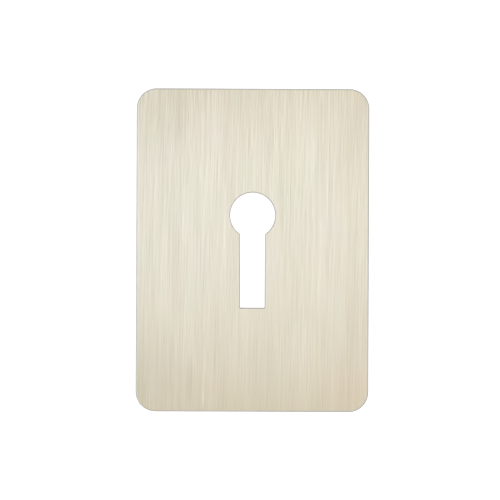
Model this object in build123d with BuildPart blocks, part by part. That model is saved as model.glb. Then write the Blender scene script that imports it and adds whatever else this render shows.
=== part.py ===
"""Keyhole escutcheon: one thin metal plate with rounded corners and a keyhole punched through it.

The plate lies on its back. The origin is the middle of the back face, +Z comes out of the face that shows,
and +Y runs to the top of the plate, where the round of the keyhole is.
"""

import os

from build123d import *

# Driving dimensions, in millimetres
plate_width = 50.4
plate_height = 70.0
plate_thickness = 1.5
corner_radius = 4.3

keyhole_height = 25.0  # from the top of the round to the foot of the slot
round_diameter = 9.8  # clears the shank of the key
slot_width = 5.4  # clears the bit of the key
slot_corner_radius = 0.1

rim_radius = 0.35  # rolled edge of the outline, on the face
keyhole_edge_radius = 0.2  # eased edge of the keyhole, on the face
back_chamfer = 0.1  # burr taken off the outline, on the back

# Places along the plate: the keyhole stands in its middle
round_centre = keyhole_height / 2 - round_diameter / 2
slot_foot = -keyhole_height / 2

# Outline of the keyhole: a round with a square-footed slot hanging from its centre
with BuildSketch() as keyhole:
    with Locations((0, round_centre)):
        Circle(round_diameter / 2)
        Rectangle(slot_width, round_centre - slot_foot, align=(Align.CENTER, Align.MAX))
    fillet(keyhole.vertices().group_by(Axis.Y)[0], slot_corner_radius)

# Plate: stamped blank, keyhole punched through, then every edge that shows is eased
with BuildPart() as escutcheon_plate:
    with BuildSketch():
        RectangleRounded(plate_width, plate_height, corner_radius)
        add(keyhole.sketch, mode=Mode.SUBTRACT)
    extrude(amount=plate_thickness)
    fillet(escutcheon_plate.faces().sort_by(Axis.Z)[-1].outer_wire().edges(), rim_radius)
    fillet(escutcheon_plate.faces().sort_by(Axis.Z)[-1].inner_wires().edges(), keyhole_edge_radius)
    chamfer(escutcheon_plate.faces().sort_by(Axis.Z)[0].outer_wire().edges(), back_chamfer)

escutcheon_plate.part.label = "escutcheon_plate"

os.makedirs("parts", exist_ok=True)
export_step(escutcheon_plate.part, "parts/escutcheon_plate.step")
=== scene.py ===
"""Keyhole escutcheon, dressed: brushed champagne-coloured metal on a white floor, seen from straight above.

Everything is in metres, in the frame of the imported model. The plate lies on its back, +Z comes out of its
face, +Y runs to its top, and the brush lines run nearly along Y.
"""

import math

import bpy
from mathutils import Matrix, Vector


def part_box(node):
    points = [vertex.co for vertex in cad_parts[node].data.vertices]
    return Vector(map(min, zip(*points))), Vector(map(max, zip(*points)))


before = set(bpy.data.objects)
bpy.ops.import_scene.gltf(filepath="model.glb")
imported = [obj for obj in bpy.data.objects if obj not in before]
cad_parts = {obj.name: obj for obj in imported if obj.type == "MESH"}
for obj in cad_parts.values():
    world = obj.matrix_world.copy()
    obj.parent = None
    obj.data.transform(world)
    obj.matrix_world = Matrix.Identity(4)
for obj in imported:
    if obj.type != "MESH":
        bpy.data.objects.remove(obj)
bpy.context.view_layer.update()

MM = 0.001
PLATE = "escutcheon_plate"
plate_low, plate_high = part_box(PLATE)
plate_height = plate_high.y - plate_low.y

# Framing of the photograph, in its own pixels
FRAME_PIXELS = 500
PLATE_HEIGHT_PIXELS = 323.5
PLATE_MIDDLE_PIXELS = (252.5, 250.2)
LEAN = math.radians(0.24)  # clockwise, of the plate in the picture

# Camera: lens and sensor in millimetres, and the distance at which its view begins, in metres
LENS = 100.0
SENSOR = 36.0
VIEW_START = 0.01

# Metal: linear colours and roughness of the brushed face, its rim, the cut edges and the back. The rim
# colour is lighter as a painted highlight, and the edge colour darker as painted shade for the dark outline
FACE_COLOUR = (0.752, 0.707, 0.591)
RIM_HIGHLIGHT_COLOUR = (0.82, 0.825, 0.78, 1.0)
SHADED_EDGES_COLOUR = (0.40, 0.405, 0.405)
BACK_COLOUR = (0.60, 0.575, 0.51)
FACE_ROUGHNESS = 0.36
EDGE_ROUGHNESS = 0.45
BACK_ROUGHNESS = 0.45
ANISOTROPY = 0.75  # highlights spread across the brush lines

# How far the normal points up, from -1 to 1, where the face, rim and back begin and where they are full
FACE_TURN = (0.97, 0.999)
RIM_TURN = (0.82, 0.92)
BACK_TURN = (-0.90, -0.995)

# Brush lines: width and length of stroke in millimetres, slant, and share of the grain.
# A hairline is of one shade from side to side, and a groove has a light side and a dark side.
HAIRLINES = (
    (0.32, 3.5, -0.012, 0.35),
    (0.32, 16.0, -0.014, 0.85),
    (0.65, 16.0, -0.018, 0.4),
)
GROOVES = (
    (0.30, 2.5, -0.010, 0.68),
    (0.50, 6.5, -0.017, 0.95),
)
HAIRLINE_SEED = 100.3
GROOVE_SEED = 800.3
# How the strength of the lines changes per millimetre to the right and to the top
FADING = (-0.004, 0.009)
# Patches of deeper and shallower grooves: width and length in millimetres, seed, and share
PATCHES = (
    (6.0, 9.0, 31.7, 0.75),
)
# Bands of lighter and darker metal, in the same way
BANDS = (
    (1.8, 40.0, 1.0, 0.5),
    (3.0, 25.0, 2.0, 0.45),
    (4.0, 70.0, 3.0, 0.5),
)
# Patches of warmer and rosier metal, in the same way
WARM_PATCHES = (
    (3.5, 9.0, 5.0, 1.0),
)
ROSY_PATCHES = (
    (4.0, 8.0, 6.0, 1.0),
)
# Shear marks across the cut edges, in the same way
SHEAR_MARKS = (
    (0.22, 2.5, 5.7, 1.0),
    (0.9, 3.0, 6.7, 0.8),
    (5.0, 6.0, 7.7, 0.6),
)
# Broad zones of the face: X and Y of the middle, width and length in millimetres, slant, and share of the
# grain, which is above zero where they are lighter
ZONES = (
    (-18.0, 30.0, 12.0, 18.0, 0.0, -0.9),
    (-11.0, 23.0, 10.0, 34.0, 0.0, 0.7),
    (10.5, 24.0, 10.0, 34.0, 0.0, 0.7),
    (20.0, 18.0, 6.0, 36.0, 0.0, -0.3),
    (23.0, -14.0, 7.0, 24.0, 0.0, -0.5),
    (-19.5, -26.0, 7.0, 26.0, 0.0, -0.7),
    (11.0, -25.0, 12.0, 24.0, 0.0, 0.8),
)
# Scratches and stains that stand alone on the face, in the same way
MARKS = (
    (-24.5, -29.0, 6.0, 30.0, 0.0, -0.85),
    (-25.0, 9.0, 3.0, 62.0, 0.0, 0.9),
    (-13.6, -28.3, 2.0, 14.0, -0.03, -1.3),
    (-10.4, -27.0, 0.6, 17.0, -0.04, 0.8),
    (-10.6, -32.2, 0.6, 5.0, -0.06, 2.0),
    (5.7, 21.0, 0.6, 18.0, -0.04, 0.9),
    (16.2, 13.0, 0.6, 24.0, -0.01, 0.7),
    (-14.7, -17.8, 0.6, 22.0, -0.04, 0.9),
    (-14.2, 17.1, 0.7, 11.0, -0.02, -0.9),
    (-17.2, -0.7, 0.7, 18.0, -0.02, -0.8),
    (-21.6, -9.1, 0.7, 24.0, 0.03, -0.8),
)
# A warm and rosy tinge at the lower right corner, in the same way
TINGE = (
    (21.0, -31.0, 14.0, 14.0, 0.0, 0.8),
)
# Painted shade about the foot of the slot and painted light along the left edge, on the cut edges, in the
# same way
EDGE_PAINTED_SHADE_AND_LIGHT = (
    (0.0, -9.5, 14.0, 22.0, 0.0, -2.5),
    (-25.2, 4.0, 4.0, 54.0, 0.0, 2.0),
)
GRAIN_DEPTH = 0.001 * MM
BACK_GRAIN = 0.5  # next to 1 on the face

# How far the grain and two soft tints change the red, green and blue of the flat metal, and the marks those
# of the cut edges, on a shade of 1
GRAIN_CONTRAST = (0.054, 0.060, 0.076)
WARMTH = (0.0105, -0.0015, -0.018)
ROSINESS = (0.017, -0.007, 0.022)
EDGE_CONTRAST = (0.13, 0.13, 0.125)
UNCHANGED = (1.0, 1.0, 1.0)

# Floor: size and gap under the plate in metres, colour, and the glow that makes it show as white
FLOOR_SIZE = 40.0
FLOOR_GAP = 0.02 * MM
FLOOR_COLOUR = (0.5, 0.5, 0.5, 1.0)
FLOOR_GLOW = 0.86
WHITE = (1.0, 1.0, 1.0, 1.0)

# Lamp overhead: colour, power in watts, and size and place in metres
LAMP_COLOUR = (0.586, 0.731, 1.0)
LAMP_ENERGY = 0.484
LAMP_SIZE = (0.4, 0.26)
LAMP_PLACE = (0.0, 0.03, 0.9)

# Room: its colours, and where each begins and is full, as the X or the Z of the direction
HORIZON = (1.0, 1.0, 1.0, 1.0)
WALLS = (0.73, 0.72, 0.70, 1.0)
WALLS_RISE = (0.10, 0.35)
WINDOW = (1.25, 1.27, 1.29, 1.0)
WINDOW_RISE = (0.15, 0.40)
WINDOW_SIDE = (-0.55, -0.85)
CEILING_LEFT = (0.58, 0.615, 0.615, 1.0)
CEILING_RIGHT = (0.945, 0.755, 0.465, 1.0)
CEILING_RISE = (0.70, 0.92)
CEILING_SPREAD = (-0.75, 0.75)


def add(tree, kind, inputs=None, **settings):
    """A new node with its settings. Each input is linked to a socket or set to a value."""
    made = tree.nodes.new("ShaderNode" + kind)
    for name, value in settings.items():
        setattr(made, name, value)
    for name, value in (inputs or {}).items():
        if isinstance(value, bpy.types.NodeSocket):
            tree.links.new(value, made.inputs[name])
        else:
            made.inputs[name].default_value = value
    return made


def calculate(tree, operation, *values):
    """The result of one sum on sockets or numbers."""
    return add(tree, "Math", dict(enumerate(values)), operation=operation).outputs[0]


def mix_colours(tree, share, first, second):
    """The first colour where share is 0, and the second where it is 1."""
    return add(tree, "Mix", {0: share, 6: first, 7: second}, data_type="RGBA").outputs[2]


def mix_values(tree, share, first, second):
    """The first value where share is 0, and the second where it is 1."""
    return add(tree, "Mix", {0: share, 2: first, 3: second}, data_type="FLOAT").outputs[0]


def vary(tree, shade, change, contrast):
    """The shade with the change added to it, as far as the contrast says in red, green and blue."""
    return add(tree, "VectorMath", {0: change, 1: contrast, 2: shade}, operation="MULTIPLY_ADD").outputs[0]


def tint(tree, shade, colour):
    """The colour times the shade."""
    return add(tree, "VectorMath", {0: shade, 1: colour}, operation="MULTIPLY").outputs[0]


def step(tree, value, low, high):
    """0 at low and 1 at high, with a smooth rise between."""
    limits = {"Value": value, "From Min": low, "From Max": high}
    return add(tree, "MapRange", limits, interpolation_type="SMOOTHSTEP").outputs[0]


def new_tree(owner):
    """An emptied node tree for a material or the world."""
    owner.use_nodes = True
    owner.node_tree.nodes.clear()
    return owner.node_tree


def lean_over(tree, axes, slant):
    """X at which a line of this slant through the point crosses the X axis."""
    return calculate(tree, "MULTIPLY_ADD", axes["Y"], slant, axes["X"])


def line_count(tree, axes, width, slant, seed):
    """How many lines of this width and slant lie between the point and the first one."""
    return calculate(tree, "MULTIPLY_ADD", lean_over(tree, axes, slant), 1 / (width * MM), seed)


def hairlines(tree, axes, width, length, slant, seed):
    """Straight lines side by side along Y, about zero, each of which grows and fades along its length."""
    line = calculate(tree, "FLOOR", line_count(tree, axes, width, slant, seed))
    # The middle of every second cell of the noise, so that no line is like its neighbour
    cell = calculate(tree, "MULTIPLY_ADD", line, 2.0, 0.5)
    along = calculate(tree, "MULTIPLY_ADD", axes["Y"], 1 / (length * MM), seed)
    place = add(tree, "CombineXYZ", {0: cell, 1: along}).outputs[0]
    settings = {"Vector": place, "Scale": 1.0, "Detail": 0.0}
    return add(tree, "TexNoise", settings, noise_dimensions="2D", normalize=False).outputs[0]


def grooves(tree, axes, width, length, slant, seed):
    """Lines like the hairlines, but with one half of their width as light as the other is dark."""
    across = calculate(tree, "FRACT", line_count(tree, axes, width, slant, seed))
    side = calculate(tree, "SIGN", calculate(tree, "SUBTRACT", across, 0.5))
    return calculate(tree, "MULTIPLY", hairlines(tree, axes, width, length, slant, seed), side)


def bands(tree, place, width, length, seed):
    """Soft noise about zero, drawn out along Y into bands of about this width and length."""
    per_band = (1 / (width * MM), 1 / (length * MM), 1 / (width * MM))
    stretched = add(tree, "VectorMath", {0: place, 1: per_band}, operation="MULTIPLY").outputs[0]
    settings = {"Vector": stretched, "W": seed, "Scale": 1.0, "Detail": 0.0}
    return add(tree, "TexNoise", settings, noise_dimensions="4D", normalize=False).outputs[0]


def sum_of_bands(tree, place, table):
    """Several layers of bands together, each with its share."""
    total = 0.0
    for width, length, seed, share in table:
        total = calculate(tree, "MULTIPLY_ADD", bands(tree, place, width, length, seed), share, total)
    return total


def sum_of_marks(tree, axes, table):
    """Zones and strokes that stand alone, each of which fades out to its ends and sides."""
    total = 0.0
    for middle_x, middle_y, width, length, slant, share in table:
        middle = middle_x + slant * middle_y
        leaning = lean_over(tree, axes, slant)
        across = calculate(tree, "MULTIPLY_ADD", leaning, 2 / (width * MM), -2 * middle / width)
        along = calculate(tree, "MULTIPLY_ADD", axes["Y"], 2 / (length * MM), -2 * middle_y / length)
        far = calculate(tree, "MULTIPLY_ADD", across, across, calculate(tree, "MULTIPLY", along, along))
        total = calculate(tree, "MULTIPLY_ADD", step(tree, far, 1.0, 0.0), share, total)
    return total


def line_strength(tree, place):
    """How strong the brush lines are: about 1, and most at the upper left."""
    per_metre = [change / MM for change in FADING] + [0.0]
    fading = add(tree, "VectorMath", {0: place, 1: per_metre}, operation="DOT_PRODUCT").outputs["Value"]
    return calculate(tree, "ADD", fading, 1.0)


def brushed_grain(tree, place, axes):
    """Height of the brushed grain, about zero."""
    lines = 0.0
    for number, (width, length, slant, share) in enumerate(GROOVES):
        layer = grooves(tree, axes, width, length, slant, GROOVE_SEED + number)
        lines = calculate(tree, "MULTIPLY_ADD", layer, share, lines)
    lines = calculate(tree, "MULTIPLY_ADD", lines, sum_of_bands(tree, place, PATCHES), lines)
    for number, (width, length, slant, share) in enumerate(HAIRLINES):
        layer = hairlines(tree, axes, width, length, slant, HAIRLINE_SEED + number)
        lines = calculate(tree, "MULTIPLY_ADD", layer, share, lines)
    broad = sum_of_bands(tree, place, BANDS)
    return calculate(tree, "MULTIPLY_ADD", lines, line_strength(tree, place), broad)


def flat_shade(tree, place, axes, grain):
    """Shade of the face and the back: the grain, over patches of warmer and rosier metal and a tinge."""
    tinge = sum_of_marks(tree, axes, TINGE)
    warmth = calculate(tree, "ADD", sum_of_bands(tree, place, WARM_PATCHES), tinge)
    rosiness = calculate(tree, "ADD", sum_of_bands(tree, place, ROSY_PATCHES), tinge)
    shade = vary(tree, UNCHANGED, grain, GRAIN_CONTRAST)
    shade = vary(tree, shade, warmth, WARMTH)
    return vary(tree, shade, rosiness, ROSINESS)


def edge_shade(tree, axes):
    """Shade of the cut edges: upright shear marks, painted shade about the foot of the slot and painted
    light along the left edge.
    """
    upright = add(tree, "CombineXYZ", {0: axes["X"], 1: axes["Z"], 2: axes["Y"]}).outputs[0]
    marks = sum_of_bands(tree, upright, SHEAR_MARKS)
    # The edge marks paint shade about the foot of the slot and light along the left edge.
    marks = calculate(tree, "ADD", marks, sum_of_marks(tree, axes, EDGE_PAINTED_SHADE_AND_LIGHT))
    return vary(tree, UNCHANGED, marks, EDGE_CONTRAST)


def brushed_metal():
    """Plated metal: a brushed face, a rim with a painted highlight, sheared cut edges darkened by painted
    shade, and a dull back.
    """
    material = bpy.data.materials.new("brushed_metal")
    tree = new_tree(material)
    coordinates = add(tree, "TexCoord")
    place = coordinates.outputs["Object"]
    axes = add(tree, "SeparateXYZ", {0: place}).outputs
    facing = add(tree, "SeparateXYZ", {0: coordinates.outputs["Normal"]}).outputs["Z"]
    on_face = step(tree, facing, *FACE_TURN)
    on_rim = step(tree, facing, *RIM_TURN)
    on_back = step(tree, facing, *BACK_TURN)

    on_flat = calculate(tree, "MULTIPLY_ADD", on_back, BACK_GRAIN, on_face)
    grain = calculate(tree, "MULTIPLY", brushed_grain(tree, place, axes), on_flat)
    grain = calculate(tree, "MULTIPLY_ADD", sum_of_marks(tree, axes, ZONES + MARKS), on_face, grain)

    shade = flat_shade(tree, place, axes, grain)
    # The edge colour is dark as painted shade for the outline, and the rim colour light as a painted
    # highlight.
    edge = tint(tree, edge_shade(tree, axes), SHADED_EDGES_COLOUR)
    colour = mix_colours(tree, on_rim, edge, RIM_HIGHLIGHT_COLOUR)
    colour = mix_colours(tree, on_face, colour, tint(tree, shade, FACE_COLOUR))
    colour = mix_colours(tree, on_back, colour, tint(tree, shade, BACK_COLOUR))

    roughness = mix_values(tree, on_rim, EDGE_ROUGHNESS, FACE_ROUGHNESS)
    roughness = mix_values(tree, on_back, roughness, BACK_ROUGHNESS)

    bump = add(tree, "Bump", {"Strength": 1.0, "Distance": GRAIN_DEPTH, "Height": grain})
    tangent = add(tree, "Tangent", direction_type="RADIAL", axis="Y")
    surface = add(tree, "BsdfPrincipled", {
        "Base Color": colour,
        "Metallic": 1.0,
        "Roughness": roughness,
        "Anisotropic": ANISOTROPY,
        "Tangent": tangent.outputs[0],
        "Normal": bump.outputs[0],
    })
    add(tree, "OutputMaterial", {"Surface": surface.outputs[0]})
    return material


def white_floor():
    """Pale floor that shows as white, with the soft shadow of what lies on it. Its underside is clear."""
    material = bpy.data.materials.new("white_floor")
    tree = new_tree(material)
    light_path = add(tree, "LightPath").outputs
    seen = calculate(tree, "MAXIMUM", light_path["Is Camera Ray"], light_path["Is Glossy Ray"])
    seen = calculate(tree, "MAXIMUM", seen, light_path["Is Transmission Ray"])
    glow = calculate(tree, "MULTIPLY", seen, FLOOR_GLOW)
    matt = add(tree, "BsdfDiffuse", {"Color": FLOOR_COLOUR})
    lit = add(tree, "Emission", {"Color": WHITE, "Strength": glow})
    both = add(tree, "AddShader", {0: matt.outputs[0], 1: lit.outputs[0]})
    under = add(tree, "NewGeometry").outputs["Backfacing"]
    clear = add(tree, "BsdfTransparent")
    surface = add(tree, "MixShader", {0: under, 1: both.outputs[0], 2: clear.outputs[0]})
    add(tree, "OutputMaterial", {"Surface": surface.outputs[0]})
    return material


def make_floor():
    """Square floor just under the plate."""
    half = FLOOR_SIZE / 2
    sides = ((-half, -half), (half, -half), (half, half), (-half, half))
    mesh = bpy.data.meshes.new("floor")
    mesh.from_pydata([(x, y, -FLOOR_GAP) for x, y in sides], [], [(0, 1, 2, 3)])
    mesh.materials.append(white_floor())
    floor = bpy.data.objects.new("floor", mesh)
    bpy.context.scene.collection.objects.link(floor)


def make_world():
    """Room: white horizon, pale walls, a window high on the left, and a ceiling that warms to the right."""
    world = bpy.data.worlds.new("studio")
    bpy.context.scene.world = world
    tree = new_tree(world)
    direction = add(tree, "TexCoord").outputs["Generated"]
    axes = add(tree, "SeparateXYZ", {0: direction}).outputs
    colour = mix_colours(tree, step(tree, axes["Z"], *WALLS_RISE), HORIZON, WALLS)
    leftward = step(tree, axes["X"], *WINDOW_SIDE)
    in_window = calculate(tree, "MULTIPLY", leftward, step(tree, axes["Z"], *WINDOW_RISE))
    colour = mix_colours(tree, in_window, colour, WINDOW)
    ceiling = mix_colours(tree, step(tree, axes["X"], *CEILING_SPREAD), CEILING_LEFT, CEILING_RIGHT)
    colour = mix_colours(tree, step(tree, axes["Z"], *CEILING_RISE), colour, ceiling)
    background = add(tree, "Background", {"Color": colour, "Strength": 1.0})
    add(tree, "OutputWorld", {"Surface": background.outputs[0]})


def make_softbox():
    """Wide lamp overhead, so placed that the face shines most a little above its middle."""
    lamp = bpy.data.lights.new("softbox", "AREA")
    lamp.shape = "RECTANGLE"
    lamp.size, lamp.size_y = LAMP_SIZE
    lamp.energy = LAMP_ENERGY
    lamp.color = LAMP_COLOUR
    softbox = bpy.data.objects.new("softbox", lamp)
    softbox.location = LAMP_PLACE
    bpy.context.scene.collection.objects.link(softbox)


def make_camera():
    """Camera straight above the plate, as far away as the picture's scale asks."""
    size_of_pixel = plate_height / PLATE_HEIGHT_PIXELS
    camera = bpy.data.objects.new("camera", bpy.data.cameras.new("camera"))
    camera.data.lens = LENS
    camera.data.sensor_width = SENSOR
    camera.data.clip_start = VIEW_START
    camera.location = (
        (FRAME_PIXELS / 2 - PLATE_MIDDLE_PIXELS[0]) * size_of_pixel,
        (PLATE_MIDDLE_PIXELS[1] - FRAME_PIXELS / 2) * size_of_pixel,
        plate_high.z + FRAME_PIXELS * size_of_pixel * LENS / SENSOR,
    )
    camera.rotation_euler = (0.0, 0.0, LEAN)
    bpy.context.scene.collection.objects.link(camera)
    bpy.context.scene.camera = camera


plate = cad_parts[PLATE]
plate.data.materials.clear()
plate.data.materials.append(brushed_metal())

make_floor()
make_world()
make_softbox()
make_camera()
bpy.context.scene.view_settings.view_transform = "Standard"
